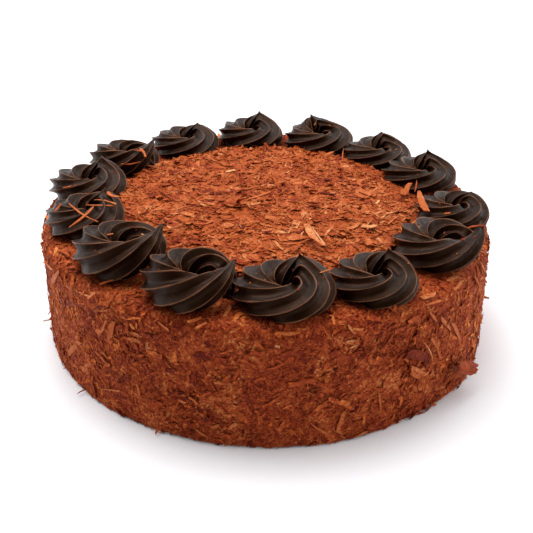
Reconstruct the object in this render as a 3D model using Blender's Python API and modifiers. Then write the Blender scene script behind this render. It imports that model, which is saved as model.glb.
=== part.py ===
"""Chocolate mousse torte, 10 inch, whole and uncut.

A round torte with straight sides is coated all over in chocolate shavings. A low heap of looser
shavings lies on top, inside a ring of fourteen rosettes of dark ganache piped round the rim with
an open star nozzle. Metres, +Z up. The origin is the centre of the flat base.
"""

import math
import random

import bmesh
import bpy
from mathutils import Matrix, Vector

MM = 0.001

# The torte: its size over the coat, without the shavings that stand out of it
TORTE_RADIUS = 125.4 * MM
TORTE_HEIGHT = 66.0 * MM
SHOULDER_RADIUS = 6.5 * MM
FOOT_RADIUS = 2.0 * MM
COAT_CRAGS = 0.8 * MM
TORTE_STEPS = 80
SHOULDER_STEPS = 3
FOOT_STEPS = 2
SIDE_BANDS = 5

# The ring of rosettes. They are piped by eye, so each has its own angle round the rim in degrees,
# its own distance from the middle and its own reach, both in millimetres, its own rise against the
# tallest, and a peak that points its own way in degrees at its own share of the reach.
ROSETTES = (
    (251.0, 103.0, 22.9, 1.00, 5, 0.90),
    (275.4, 101.5, 23.6, 0.84, 62, 0.62),
    (299.6, 104.0, 21.2, 0.84, 58, 0.60),
    (326.6, 104.0, 23.2, 0.84, 8, 0.88),
    (350.6, 105.0, 19.8, 0.92, 30, 0.66),
    (20.5, 101.5, 23.4, 0.80, 60, 0.60),
    (44.2, 102.5, 22.2, 0.78, 70, 0.60),
    (70.0, 103.0, 23.0, 0.80, 100, 0.62),
    (96.6, 103.0, 22.4, 0.80, 58, 0.60),
    (122.6, 102.0, 22.6, 0.72, 50, 0.60),
    (150.0, 103.8, 21.4, 0.92, 5, 0.84),
    (175.0, 103.8, 22.6, 0.92, 52, 0.66),
    (198.6, 101.5, 21.6, 0.96, 36, 0.70),
    (224.6, 100.2, 22.9, 1.00, 5, 0.90),
)
ROSETTE_GAP = 0.4 * MM
SEAT_GAP = 0.3 * MM

# One rosette, as parts of its reach, which is half its width: the rope is narrow and low where the
# piping starts, and wide and high where its tail begins
NOZZLE_POINTS = 7
NOZZLE_VALLEY = 0.75
ROPE_WIDTH = (0.76, 0.88)
ROPE_TOP = (0.70, 0.82)
ROPE_BOTTOM = -0.18
PEAK_HEIGHT = 0.98
TAIL_TURN = 115.0
PATH_STEPS = 18
WELL_FLOOR = 0.16

# The heap of shavings inside the ring
HEAP_RADIUS = 84.0 * MM
HEAP_EDGE_HEIGHT = 3.6 * MM
HEAP_FOOT_HEIGHT = 1.6 * MM
HEAP_MIDDLE_HEIGHT = 7.2 * MM
HEAP_STEPS = 72
HEAP_BANDS = 5
HEAP_FIRST_BAND = 0.22
HEAP_LAST_BAND = 0.93
HEAP_CLEARANCE = 0.9 * MM
HEAP_CRAGS = 0.7 * MM

# The shavings that are large enough to show one by one: how many of each kind there are, the
# shortest and longest, the narrowest and widest in millimetres, and how far they lift in degrees
SIDE_SHAVINGS = {"count": 54, "length": (7, 13), "width": (2.4, 4.2), "lift": (6, 16)}
FOOT_SHAVINGS = {"count": 14, "length": (5, 8), "width": (1.8, 3.0), "lift": (2, 10)}
RIM_SHAVINGS = {"count": 14, "length": (5, 7), "width": (2.0, 3.0), "lift": (6, 16)}
HEAP_SHAVINGS = {"count": 48, "length": (7, 13), "width": (2.4, 4.4), "lift": (6, 26)}
SHAVING_THICKNESS = (0.7, 1.1)
SHAVING_TAPER = 0.45
SHAVING_HOLD = 0.24
SHAVING_TWIST = 22.0
SHAVING_STRAY = 35.0
SIDE_HEIGHTS = (12 * MM, 50 * MM)
FOOT_HEIGHT = 5 * MM
FOOT_SLOPE = 0.3
FOOT_CLEARANCE = 0.3 * MM
FOOT_SPREAD = (0.2, 0.8)
RIM_INSET = (2.5 * MM, 5.0 * MM)
RIM_DEPTH = 0.8 * MM
RIM_SLOPE = 1.7
HEAP_SPREAD = 0.85
HEAP_LEAN = 0.15
COAT_SEED = 14
HEAP_SEED = 5

COAT_COLOUR = (0.165, 0.041, 0.016, 1.0)
COAT_ROUGHNESS = 0.75
HEAP_COLOUR = (0.290, 0.082, 0.030, 1.0)
HEAP_ROUGHNESS = 0.65
GANACHE_COLOUR = (0.020, 0.012, 0.008, 1.0)
GANACHE_ROUGHNESS = 0.35
SHARP_ANGLE = 35.0
MERGE_DISTANCE = 0.01 * MM
CUT_TOLERANCE = 0.001 * MM


def clear_scene():
    for obj in list(bpy.data.objects):
        bpy.data.objects.remove(obj, do_unlink=True)


def new_collection(name):
    collection = bpy.data.collections.new(name)
    bpy.context.scene.collection.children.link(collection)
    return collection


def new_material(name, colour, roughness):
    material = bpy.data.materials.new(name)
    material.use_nodes = True
    shader = material.node_tree.nodes["Principled BSDF"]
    shader.inputs["Base Color"].default_value = colour
    shader.inputs["Roughness"].default_value = roughness
    shader.inputs["Metallic"].default_value = 0.0
    return material


def new_object(name, data, collection):
    obj = bpy.data.objects.new(name, data)
    collection.objects.link(obj)
    return obj


def evaluated_mesh(obj):
    """The object's mesh with its modifiers or bevel applied."""
    bpy.context.view_layer.update()
    graph = bpy.context.evaluated_depsgraph_get()
    return bpy.data.meshes.new_from_object(obj.evaluated_get(graph), depsgraph=graph)


def as_mesh_object(name, source, collection):
    """Replaces a curve or a modified object by the plain mesh that it makes."""
    mesh = evaluated_mesh(source)
    mesh.materials.clear()
    bpy.data.objects.remove(source, do_unlink=True)
    return new_object(name, mesh, collection)


def shells(bm):
    """The mesh's separate closed skins, each a list of faces."""
    left = dict.fromkeys(bm.faces)
    found = []
    while left:
        reached = [left.popitem()[0]]
        for face in reached:
            for edge in face.edges:
                beside = [other for other in edge.link_faces if other in left]
                if len(edge.link_faces) == 2 and beside:
                    del left[beside[0]]
                    reached.append(beside[0])
        found.append(reached)
    return found


def keep_outer_skin(mesh):
    """Fills hollows that fusing sealed and drops loose scraps: only the largest skin stays."""
    bm = bmesh.new()
    bm.from_mesh(mesh)
    bmesh.ops.triangulate(bm, faces=bm.faces[:])
    skins = sorted(shells(bm), key=lambda skin: sum(face.calc_area() for face in skin))
    spare = [face for skin in skins[:-1] for face in skin]
    bmesh.ops.delete(bm, geom=spare, context="FACES")
    bm.to_mesh(mesh)
    bm.free()


def fuse(body, pieces):
    """Joins every object of the collection to the body by one Boolean union, then removes them."""
    union = body.modifiers.new("Fuse", "BOOLEAN")
    union.operation = "UNION"
    union.solver = "MANIFOLD"
    union.operand_type = "COLLECTION"
    union.collection = pieces
    mesh = evaluated_mesh(body)
    keep_outer_skin(mesh)
    mesh.shade_smooth()
    mesh.set_sharp_from_angle(angle=math.radians(SHARP_ANGLE))
    body.modifiers.clear()
    body.data = mesh
    for piece in list(pieces.objects):
        bpy.data.objects.remove(piece, do_unlink=True)
    bpy.data.collections.remove(pieces)


def turned(name, profile, steps, collection):
    """A solid turned round Z from a profile of (radius, height) points."""
    mesh = bpy.data.meshes.new(name)
    points = [(radius, 0.0, height) for radius, height in profile]
    mesh.from_pydata(points, [(i, i + 1) for i in range(len(points) - 1)], [])
    source = new_object(name + "_profile", mesh, collection)
    screw = source.modifiers.new("Turn", "SCREW")
    screw.steps = steps
    screw.render_steps = steps
    screw.use_merge_vertices = True
    screw.merge_threshold = MERGE_DISTANCE
    return as_mesh_object(name, source, collection)


def arc(centre_radius, centre_height, radius, start, end, count):
    """Points of a round edge of the profile, angles in degrees up from the outward direction."""
    points = []
    for i in range(count + 1):
        angle = math.radians(start + (end - start) * i / count)
        points.append((centre_radius + radius * math.cos(angle), centre_height + radius * math.sin(angle)))
    return points


def polar(radius, degrees, height):
    angle = math.radians(degrees)
    return Vector((radius * math.cos(angle), radius * math.sin(angle), height))


def rosette_places():
    """Each rosette's centre and reach. Where two would meet, both give way in proportion."""
    piped = [(polar(ring * MM, angle, 0.0), reach * MM) for angle, ring, reach, *_ in ROSETTES]
    places = []
    for i, (centre, reach) in enumerate(piped):
        share = 1.0
        for other, other_reach in (piped[i - 1], piped[(i + 1) % len(piped)]):
            room = (centre - other).length - ROSETTE_GAP
            share = min(share, room / (reach + other_reach))
        places.append((centre, reach * share))
    return places


def clear_of_rosettes(point, kind, places):
    """Whether a shaving of this kind, held at the point, can't reach a rosette whichever way it lies."""
    spot = Vector((point.x, point.y, 0.0))
    margin = kind["length"][1] * MM * (1 - SHAVING_HOLD) + ROSETTE_GAP
    return all((spot - centre).length > reach + margin for centre, reach in places)


def shaving(rng, kind, collection):
    """One flat shaving, long in X and thin in Z, with uneven ends and a slight twist. It is held at
    the origin, near one end, and the other end is lifted."""
    length = rng.uniform(*kind["length"]) * MM
    width = rng.uniform(*kind["width"]) * MM
    thickness = rng.uniform(*SHAVING_THICKNESS) * MM
    twist = math.radians(rng.uniform(-SHAVING_TWIST, SHAVING_TWIST))
    bm = bmesh.new()
    bmesh.ops.create_cube(bm, size=1.0)
    for vert in bm.verts:
        end = math.copysign(twist, vert.co.x)
        along = (vert.co.x + 0.5 - SHAVING_HOLD) * length
        across = vert.co.y * width * rng.uniform(SHAVING_TAPER, 1.0)
        vert.co = Matrix.Rotation(end, 3, "X") @ Vector((along, across, vert.co.z * thickness))
    lift = math.radians(rng.uniform(*kind["lift"]))
    bmesh.ops.rotate(bm, verts=bm.verts[:], matrix=Matrix.Rotation(-lift, 3, "Y"))
    mesh = bpy.data.meshes.new("shaving")
    bm.to_mesh(mesh)
    bm.free()
    return new_object("shaving", mesh, collection)


def lay(piece, point, normal, rng, grain):
    """Lays a shaving at a point, turned about the normal by about grain degrees either way round."""
    frame = normal.to_track_quat("Z", "Y").to_matrix().to_4x4()
    heading = rng.gauss(grain, SHAVING_STRAY) + rng.choice((0, 180))
    turn = Matrix.Rotation(math.radians(heading), 4, "Z")
    piece.data.transform(Matrix.Translation(point) @ frame @ turn)


def torte_profile():
    """Half section of the torte, from the middle of the top down the side to the middle of the base."""
    side_top = TORTE_HEIGHT - SHOULDER_RADIUS
    profile = [(0.0, TORTE_HEIGHT), (HEAP_RADIUS, TORTE_HEIGHT)]
    shoulder = arc(TORTE_RADIUS - SHOULDER_RADIUS, side_top, SHOULDER_RADIUS, 90, 0, SHOULDER_STEPS)
    profile += shoulder
    for band in range(1, SIDE_BANDS):
        profile.append((TORTE_RADIUS, side_top + (FOOT_RADIUS - side_top) * band / SIDE_BANDS))
    profile += arc(TORTE_RADIUS - FOOT_RADIUS, FOOT_RADIUS, FOOT_RADIUS, 0, -90, FOOT_STEPS)
    profile.append((0.0, 0.0))
    return profile


def torte(collection, places):
    """The torte with its coat: an uneven side, and the larger shavings fused to it."""
    rng = random.Random(COAT_SEED)
    body = turned("torte", torte_profile(), TORTE_STEPS, collection)
    for vert in body.data.vertices:
        out = Vector((vert.co.x, vert.co.y, 0.0))
        if FOOT_RADIUS / 2 < vert.co.z < TORTE_HEIGHT - SHOULDER_RADIUS / 3:
            vert.co += out.normalized() * rng.uniform(-COAT_CRAGS, COAT_CRAGS)
    pieces = new_collection("coat_shavings")
    for _ in range(SIDE_SHAVINGS["count"]):
        degrees = rng.uniform(0, 360)
        point = polar(TORTE_RADIUS, degrees, rng.uniform(*SIDE_HEIGHTS))
        lay(shaving(rng, SIDE_SHAVINGS, pieces), point, polar(1.0, degrees, 0.0), rng, 90)
    for i in range(FOOT_SHAVINGS["count"]):
        degrees = (i + rng.uniform(*FOOT_SPREAD)) * 360 / FOOT_SHAVINGS["count"]
        point = polar(TORTE_RADIUS, degrees, FOOT_HEIGHT)
        piece = shaving(rng, FOOT_SHAVINGS, pieces)
        lay(piece, point, polar(1.0, degrees, FOOT_SLOPE), rng, 0)
        lowest = min(vert.co.z for vert in piece.data.vertices)
        piece.data.transform(Matrix.Translation((0.0, 0.0, max(0.0, FOOT_CLEARANCE - lowest))))
    placed = 0
    while placed < RIM_SHAVINGS["count"]:
        degrees = rng.uniform(0, 360)
        point = polar(TORTE_RADIUS - rng.uniform(*RIM_INSET), degrees, TORTE_HEIGHT - RIM_DEPTH)
        if clear_of_rosettes(point, RIM_SHAVINGS, places):
            lay(shaving(rng, RIM_SHAVINGS, pieces), point, polar(1.0, degrees, RIM_SLOPE), rng, 90)
            placed += 1
    fuse(body, pieces)
    return body


def heap_edge(degrees, places):
    """How far the heap reaches at an angle: it runs out between the rosettes and stops short of each."""
    edge = HEAP_RADIUS
    for centre, reach in places:
        keep_off = reach + HEAP_CLEARANCE
        away = math.radians(degrees) - math.atan2(centre.y, centre.x)
        across = abs(centre.length * math.sin(away))
        if math.cos(away) > 0 and across < keep_off:
            edge = min(edge, centre.length * math.cos(away) - math.sqrt(keep_off**2 - across**2))
    return edge


def heap_height(share):
    """The heap's smooth height above its base, at this share of the way from its middle to its edge."""
    return HEAP_EDGE_HEIGHT + (HEAP_MIDDLE_HEIGHT - HEAP_EDGE_HEIGHT) * (1 - share**2)


def heap_profile():
    """Half section of the heap at full reach: a low dome with a steep edge and a flat base."""
    profile = [(0.0, HEAP_MIDDLE_HEIGHT)]
    for band in range(HEAP_BANDS):
        share = HEAP_FIRST_BAND + (HEAP_LAST_BAND - HEAP_FIRST_BAND) * band / (HEAP_BANDS - 1)
        profile.append((HEAP_RADIUS * share, heap_height(share)))
    profile.append((HEAP_RADIUS, HEAP_FOOT_HEIGHT))
    profile.append((HEAP_RADIUS, 0.0))
    profile.append((0.0, 0.0))
    return profile


def flake_heap(collection, places):
    """The heap of loose shavings inside the ring: a bumpy low dome with the larger ones fused on."""
    rng = random.Random(HEAP_SEED)
    base = TORTE_HEIGHT + SEAT_GAP
    body = turned("flake_heap", heap_profile(), HEAP_STEPS, collection)
    for vert in body.data.vertices:
        reach = Vector((vert.co.x, vert.co.y, 0.0))
        degrees = math.degrees(math.atan2(vert.co.y, vert.co.x))
        edge = heap_edge(degrees, places)
        share = reach.length / HEAP_RADIUS
        reach *= edge / HEAP_RADIUS
        height = vert.co.z
        if height > HEAP_EDGE_HEIGHT / 2:
            height += rng.uniform(-HEAP_CRAGS, HEAP_CRAGS) * min(1.0, share / HEAP_FIRST_BAND)
        vert.co = Vector((reach.x, reach.y, base + height))
    pieces = new_collection("heap_shavings")
    placed = 0
    while placed < HEAP_SHAVINGS["count"]:
        degrees = rng.uniform(0, 360)
        share = math.sqrt(rng.uniform(0.0, HEAP_SPREAD))
        point = polar(share * heap_edge(degrees, places), degrees, base + heap_height(share))
        if clear_of_rosettes(point, HEAP_SHAVINGS, places):
            lean = Vector((rng.uniform(-HEAP_LEAN, HEAP_LEAN), rng.uniform(-HEAP_LEAN, HEAP_LEAN), 1.0))
            lay(shaving(rng, HEAP_SHAVINGS, pieces), point, lean, rng, rng.uniform(0, 180))
            placed += 1
    fuse(body, pieces)
    return body


def trim_below(bm, faces, height):
    """Cuts these faces level at a height and removes what lies under it."""
    edges = dict.fromkeys(edge for face in faces for edge in face.edges)
    verts = dict.fromkeys(vert for face in faces for vert in face.verts)
    bmesh.ops.bisect_plane(
        bm,
        geom=faces + list(edges) + list(verts),
        dist=CUT_TOLERANCE,
        plane_co=(0, 0, height),
        plane_no=(0, 0, 1),
        clear_inner=True,
    )


def ease(value, high):
    """Goes smoothly from 0 at 0 to 1 at this high value."""
    share = min(1.0, max(0.0, value / high))
    return share * share * (3 - 2 * share)


def rope_section(left, bearing, rise):
    """The rope's cross-section, this many degrees before its end: corners as (out, up) in reaches."""
    piped = min(1.0, (360 - left) / (360 - TAIL_TURN))
    width = ROPE_WIDTH[0] + (ROPE_WIDTH[1] - ROPE_WIDTH[0]) * piped
    top = ROPE_TOP[0] + (ROPE_TOP[1] - ROPE_TOP[0]) * piped
    top += (PEAK_HEIGHT - top) * (1 - ease(left, TAIL_TURN))
    corners = []
    for i in range(2 * NOZZLE_POINTS):
        star = 1.0 if i % 2 == 0 else NOZZLE_VALLEY
        round_rope = math.pi * i / NOZZLE_POINTS + math.radians(bearing)
        out = 1 - width / 2 + width / 2 * star * math.cos(round_rope)
        up = (top + ROPE_BOTTOM) / 2 + (top - ROPE_BOTTOM) / 2 * star * math.sin(round_rope)
        corners.append((out, up * rise))
    return corners


def rosette(name, centre, reach, rise, peak_bearing, peak_distance, collection):
    """One rosette: a star-shaped rope piped in one turn, higher at its end, which is drawn to a peak.

    The ridges wind once round the rope as it goes round: from the outer foot, over the top and into
    the well in the middle.
    """
    bm = bmesh.new()
    rings = []
    inner = set()
    for step in range(PATH_STEPS):
        left = -360 * step / PATH_STEPS % 360
        bearing = peak_bearing - left
        corners = rope_section(left, bearing, rise)
        if left == 0:
            peak = (peak_distance, PEAK_HEIGHT * rise)
            nearest = min(range(0, 2 * NOZZLE_POINTS, 2), key=lambda i: math.dist(corners[i], peak))
            corners[nearest] = peak
        rings.append([bm.verts.new(polar(out * reach, bearing, up * reach)) for out, up in corners])
        middle = sum(out for out, _ in corners) / len(corners)
        inner.update(vert for vert, (out, _) in zip(rings[-1], corners) if out < middle)
    well = []
    for step, near in enumerate(rings):
        far = rings[(step + 1) % PATH_STEPS]
        for i in range(2 * NOZZLE_POINTS):
            beside = (i + 1) % (2 * NOZZLE_POINTS)
            face = bm.faces.new((near[i], far[i], far[beside], near[beside]))
            if all(vert in inner for vert in face.verts):
                well.append(face)
    trim_below(bm, well, WELL_FLOOR * reach)
    trim_below(bm, bm.faces[:], 0.0)
    bmesh.ops.holes_fill(bm, edges=[edge for edge in bm.edges if edge.is_boundary], sides=0)
    bmesh.ops.recalc_face_normals(bm, faces=bm.faces[:])
    mesh = bpy.data.meshes.new(name)
    bm.to_mesh(mesh)
    bm.free()
    mesh.shade_smooth()
    mesh.set_sharp_from_angle(angle=math.radians(SHARP_ANGLE))
    mesh.transform(Matrix.Translation(centre + Vector((0.0, 0.0, TORTE_HEIGHT + SEAT_GAP))))
    return new_object(name, mesh, collection)


def main():
    clear_scene()
    parts = new_collection("chocolate_mousse_torte")
    coat = new_material("shaving_coat", COAT_COLOUR, COAT_ROUGHNESS)
    loose = new_material("loose_shavings", HEAP_COLOUR, HEAP_ROUGHNESS)
    ganache = new_material("ganache", GANACHE_COLOUR, GANACHE_ROUGHNESS)

    places = rosette_places()
    torte(parts, places).data.materials.append(coat)
    flake_heap(parts, places).data.materials.append(loose)
    for number, ((centre, reach), row) in enumerate(zip(places, ROSETTES), 1):
        rise, peak_bearing, peak_distance = row[3:]
        piped = rosette(f"rosette_{number:02d}", centre, reach, rise, peak_bearing, peak_distance, parts)
        piped.data.materials.append(ganache)


main()
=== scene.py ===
import math

import bmesh
import bpy
import numpy as np
from mathutils import Matrix, Vector


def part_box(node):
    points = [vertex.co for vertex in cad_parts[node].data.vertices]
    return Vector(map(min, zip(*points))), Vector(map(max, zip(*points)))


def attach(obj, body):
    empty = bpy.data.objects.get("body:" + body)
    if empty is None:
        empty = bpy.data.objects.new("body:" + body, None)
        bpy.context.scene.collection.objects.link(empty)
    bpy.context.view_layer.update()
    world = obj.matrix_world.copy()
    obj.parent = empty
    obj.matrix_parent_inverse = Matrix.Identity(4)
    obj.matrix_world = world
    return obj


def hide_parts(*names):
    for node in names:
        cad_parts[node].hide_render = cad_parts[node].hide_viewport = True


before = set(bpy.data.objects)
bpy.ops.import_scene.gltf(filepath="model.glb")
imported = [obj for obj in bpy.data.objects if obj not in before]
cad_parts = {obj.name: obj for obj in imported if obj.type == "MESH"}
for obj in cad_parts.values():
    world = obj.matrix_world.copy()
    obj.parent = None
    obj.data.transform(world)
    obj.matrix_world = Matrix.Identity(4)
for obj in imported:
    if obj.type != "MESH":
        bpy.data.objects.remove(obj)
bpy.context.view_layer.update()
MM = 0.001


# The photographer's place: a camera held in front of the torte and a little above it, so that the
# side and the top both show. It is nearer than twice the torte's width, so the far rim is small.
CAMERA_DISTANCE = 449.1 * MM
CAMERA_ELEVATION = math.radians(32.89)
LOOK_DOWN = math.radians(30.12)
LOOK_RIGHT = math.radians(0.14)
CAMERA_ROLL = math.radians(1.07)
SENSOR_WIDTH = 36.0
FOCAL_LENGTH = 48.63

bpy.ops.object.select_all(action="DESELECT")
camera_place = CAMERA_DISTANCE * Vector(
    (0.0, -math.cos(CAMERA_ELEVATION), math.sin(CAMERA_ELEVATION))
)
camera_turn = (
    Matrix.Rotation(-LOOK_RIGHT, 3, "Z")
    @ Matrix.Rotation(math.radians(90) - LOOK_DOWN, 3, "X")
    @ Matrix.Rotation(CAMERA_ROLL, 3, "Z")
)
bpy.ops.object.camera_add(location=camera_place, rotation=camera_turn.to_euler())
camera = bpy.context.object
camera.data.sensor_width = SENSOR_WIDTH
camera.data.lens = FOCAL_LENGTH
camera.data.clip_start = 10 * MM
bpy.context.scene.camera = camera
bpy.context.scene.view_settings.view_transform = "Standard"


# The studio: a pale table top that runs back out of sight, inside a white light tent. A wide soft
# lamp over the torte's far left gives the ganache its highlights and the shavings their shadows.

# How bright the tent is all over, and how much more at both sides, on the right and at the back
TENT_LEVEL = 0.20
TENT_SIDES = 2.4
TENT_RIGHT = 0.5
TENT_BACK = 0.80
TENT_DARKEST = 0.09
TENT_BRIGHTEST = 2.6
LAMP_PLACE = Vector((-0.22, 0.22, 0.97))
LAMP_AIM = Vector((0.0, 0.0, 0.05))
LAMP_WIDTH = 0.7
LAMP_POWER = 8.8
# The roof of the tent, as one very wide sun
ROOF_TURN = (math.radians(-16), math.radians(-8), 0.0)
ROOF_POWER = 1.20
ROOF_ANGLE = math.radians(66)
TABLE_SIZE = 30.0
TABLE_DROP = 0.4 * MM


def linear(hex_colour):
    """The linear red, green, blue and alpha of an sRGB colour such as #a06030."""
    channels = [int(hex_colour[i : i + 2], 16) / 255 for i in (1, 3, 5)]
    return [c / 12.92 if c <= 0.04045 else ((c + 0.055) / 1.055) ** 2.4 for c in channels] + [1.0]


def add_node(owner, kind, sockets, **settings):
    """Adds a shader node with its settings, its sockets given as values or as outputs to link."""
    tree = owner.node_tree
    node = tree.nodes.new("ShaderNode" + kind)
    for name, value in settings.items():
        setattr(node, name, value)
    for name, value in sockets.items():
        if isinstance(value, bpy.types.NodeSocket):
            tree.links.new(value, node.inputs[name])
        else:
            node.inputs[name].default_value = value
    return node


def multiply_add(owner, value, factor, added):
    """A shader value that is another one times a factor, with something added."""
    sockets = {0: value, 1: factor, 2: added}
    return add_node(owner, "Math", sockets, operation="MULTIPLY_ADD").outputs[0]


def map_range(owner, value, low, high, to_low, to_high):
    """A shader value moved from one range to another, and kept inside it."""
    ends = {"From Min": low, "From Max": high, "To Min": to_low, "To Max": to_high}
    return add_node(owner, "MapRange", {"Value": value, **ends}).outputs["Result"]


def add_noise(owner, place, size, detail, roughness=0.5):
    """A shader value that goes up and down from place to place in lumps of this size."""
    sockets = {"Vector": place, "Scale": 1 / size, "Detail": detail, "Roughness": roughness}
    return add_node(owner, "TexNoise", sockets).outputs["Fac"]


def new_material(name):
    """A material and its Principled shader."""
    material = bpy.data.materials.new(name)
    material.use_nodes = True
    return material, material.node_tree.nodes["Principled BSDF"]


tent = bpy.data.worlds.new("light_tent")
tent.use_nodes = True
background = tent.node_tree.nodes["Background"]
background.inputs["Color"].default_value = linear("#ffffff")
way = add_node(tent, "SeparateXYZ", {"Vector": add_node(tent, "TexCoord", {}).outputs["Generated"]})
right, back = way.outputs["X"], way.outputs["Y"]
sides = add_node(tent, "Math", {0: right, 1: right}, operation="MULTIPLY").outputs[0]
light = TENT_LEVEL
for towards, more in ((sides, TENT_SIDES), (back, TENT_BACK), (right, TENT_RIGHT)):
    light = multiply_add(tent, towards, more, light)
light = map_range(tent, light, TENT_DARKEST, TENT_BRIGHTEST, TENT_DARKEST, TENT_BRIGHTEST)
seen = add_node(tent, "LightPath", {}).outputs["Is Camera Ray"]
shown = add_node(tent, "Math", {0: light, 1: seen}, operation="MAXIMUM").outputs[0]
tent.node_tree.links.new(shown, background.inputs["Strength"])
bpy.context.scene.world = tent

lamp_turn = (LAMP_AIM - LAMP_PLACE).to_track_quat("-Z", "Y").to_euler()
bpy.ops.object.light_add(type="AREA", location=LAMP_PLACE, rotation=lamp_turn)
lamp = bpy.context.object
lamp.data.size = LAMP_WIDTH
lamp.data.energy = LAMP_POWER
bpy.ops.object.light_add(type="SUN", rotation=ROOF_TURN)
roof = bpy.context.object
roof.data.energy = ROOF_POWER
roof.data.angle = ROOF_ANGLE

# Matt white laminate: it gives no clear reflection and only a soft shadow.
laminate, shader = new_material("matt_white_laminate")
shader.inputs["Base Color"].default_value = linear("#ebebee")
shader.inputs["Roughness"].default_value = 0.7
bpy.ops.mesh.primitive_plane_add(size=TABLE_SIZE, location=(0.0, 0.0, -TABLE_DROP))
table = bpy.context.object
table.name = "table_top"
table.data.materials.append(laminate)


# The torte: a drum of set chocolate mousse with a soft shoulder, its side and rim dredged with so
# many fine shavings that the mousse shows only in paler smears between them.
SHOULDER_RADIUS = 6.5 * MM
FOOT_RADIUS = 0.8 * MM
TORTE_RADIUS = 125.0 * MM
TORTE_HEIGHT = 66.0 * MM
HEAP_RADIUS = 84.0 * MM
SIDE_CUTS = 72
RIM_CUTS = 32
DRUM_STEPS = 720
SHOULDER_SEGMENTS = 7
FOOT_SEGMENTS = 3
HAIR = 0.01 * MM
# The lumps of the coat: how wide they are, and how far they go in and out
DRUM_LUMPS = ((18 * MM, 0.9 * MM), (3.5 * MM, 0.45 * MM), (1.3 * MM, 0.3 * MM))
# The side leans out by this much at one bearing, most at this share of its height and less at the
# foot, and it widens a little towards the foot all round
SWELL = 3.4 * MM
SWELL_BEARING = math.radians(-33)
SWELL_SPREAD = math.radians(18)
SWELL_HIGHEST = 0.4
SWELL_FOOT = 0.9
FOOT_FLARE = 2.0 * MM


def displace(piece, size, depth):
    """Makes a surface uneven with lumps of this size, this far in and out."""
    clouds = bpy.data.textures.new("lumps", "CLOUDS")
    clouds.noise_scale = size
    clouds.noise_depth = 1
    bpy.ops.object.modifier_add(type="DISPLACE")
    lumps = piece.modifiers[-1]
    lumps.texture = clouds
    lumps.texture_coords = "LOCAL"
    lumps.strength = 2 * depth
    bpy.ops.object.modifier_apply(modifier=lumps.name)


def select_verts(piece, wanted):
    """In edit mode, selects only the vertices whose place passes the test."""
    bpy.ops.object.mode_set(mode="OBJECT")
    for item in (*piece.data.polygons, *piece.data.edges):
        item.select = False
    for vert in piece.data.vertices:
        vert.select = wanted(vert.co)
    bpy.ops.object.mode_set(mode="EDIT")
    bpy.ops.mesh.select_mode(type="VERT")


def read_spots(piece):
    """Where the vertices of a piece are, one row each."""
    spots = np.empty(3 * len(piece.data.vertices))
    piece.data.vertices.foreach_get("co", spots)
    return spots.reshape(-1, 3)


def swollen(spots):
    """How many times as far from the axis the coat is at these places as on a straight drum."""
    away = np.arctan2(spots[..., 1], spots[..., 0]) - SWELL_BEARING
    high = np.clip(spots[..., 2] / TORTE_HEIGHT, 0.0, 1.0)
    rise = SWELL_FOOT + (1 - SWELL_FOOT) * np.minimum(high / SWELL_HIGHEST, 1.0)
    rise *= np.clip((1 - high) / (1 - SWELL_HIGHEST), 0.0, 1.0)
    wider = SWELL * rise * np.exp(-((away / SWELL_SPREAD) ** 2)) + FOOT_FLARE * (1 - high) ** 2
    return (1 + wider / TORTE_RADIUS)[..., None]


bpy.ops.mesh.primitive_cylinder_add(
    vertices=DRUM_STEPS,
    radius=TORTE_RADIUS,
    depth=TORTE_HEIGHT,
    location=(0.0, 0.0, TORTE_HEIGHT / 2),
)
drum = bpy.context.object
drum.name = "mousse_drum"
bpy.ops.object.transform_apply(location=True, rotation=True, scale=True)
select_verts(drum, lambda spot: spot.z > TORTE_HEIGHT / 2)
bpy.ops.mesh.bevel(offset=SHOULDER_RADIUS, segments=SHOULDER_SEGMENTS)
select_verts(drum, lambda spot: spot.z < FOOT_RADIUS / 2)
bpy.ops.mesh.bevel(offset=FOOT_RADIUS, segments=FOOT_SEGMENTS)
select_verts(drum, lambda spot: spot.z > TORTE_HEIGHT - HAIR)
for _ in range(RIM_CUTS):
    bpy.ops.mesh.inset(thickness=(TORTE_RADIUS - SHOULDER_RADIUS - HEAP_RADIUS) / RIM_CUTS)
bpy.ops.object.mode_set(mode="OBJECT")
cutting = bmesh.new()
cutting.from_mesh(drum.data)
upright = [
    edge
    for edge in cutting.edges
    if abs(edge.verts[0].co.z - edge.verts[1].co.z) > TORTE_HEIGHT / 2
]
bmesh.ops.subdivide_edges(cutting, edges=upright, cuts=SIDE_CUTS)
cutting.to_mesh(drum.data)
cutting.free()
drum.data.shade_smooth()
spots = read_spots(drum)
spots[:, :2] *= swollen(spots)
drum.data.vertices.foreach_set("co", spots.ravel())
for size, depth in DRUM_LUMPS:
    displace(drum, size, depth)
for vert in drum.data.vertices:
    vert.co.z = max(vert.co.z, 0.0)

# Set mousse with fine shavings pressed in: waxy and matt, red-brown, a mat of little scales a few
# millimetres long that lie at all angles, with paler smears a few centimetres long.
SCALE_SIZE = 2.2 * MM
SLIP_SIZE = 1.0 * MM
SWIRL_SIZE = 3 * MM
SWIRL_REACH = 1.6 * MM
GRAIN_SIZE = 1.2 * MM
SMEAR_SIZE = 15 * MM
SCALE_SHARE = 0.45
# The least and most of these mixed values that show in the colours
SCALE_RANGE = (0.45, 1.0)
SMEAR_RANGE = (0.3, 0.7)
MAT_ROUGHNESS = 0.7
WAX_SPECULAR = 0.06


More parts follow.
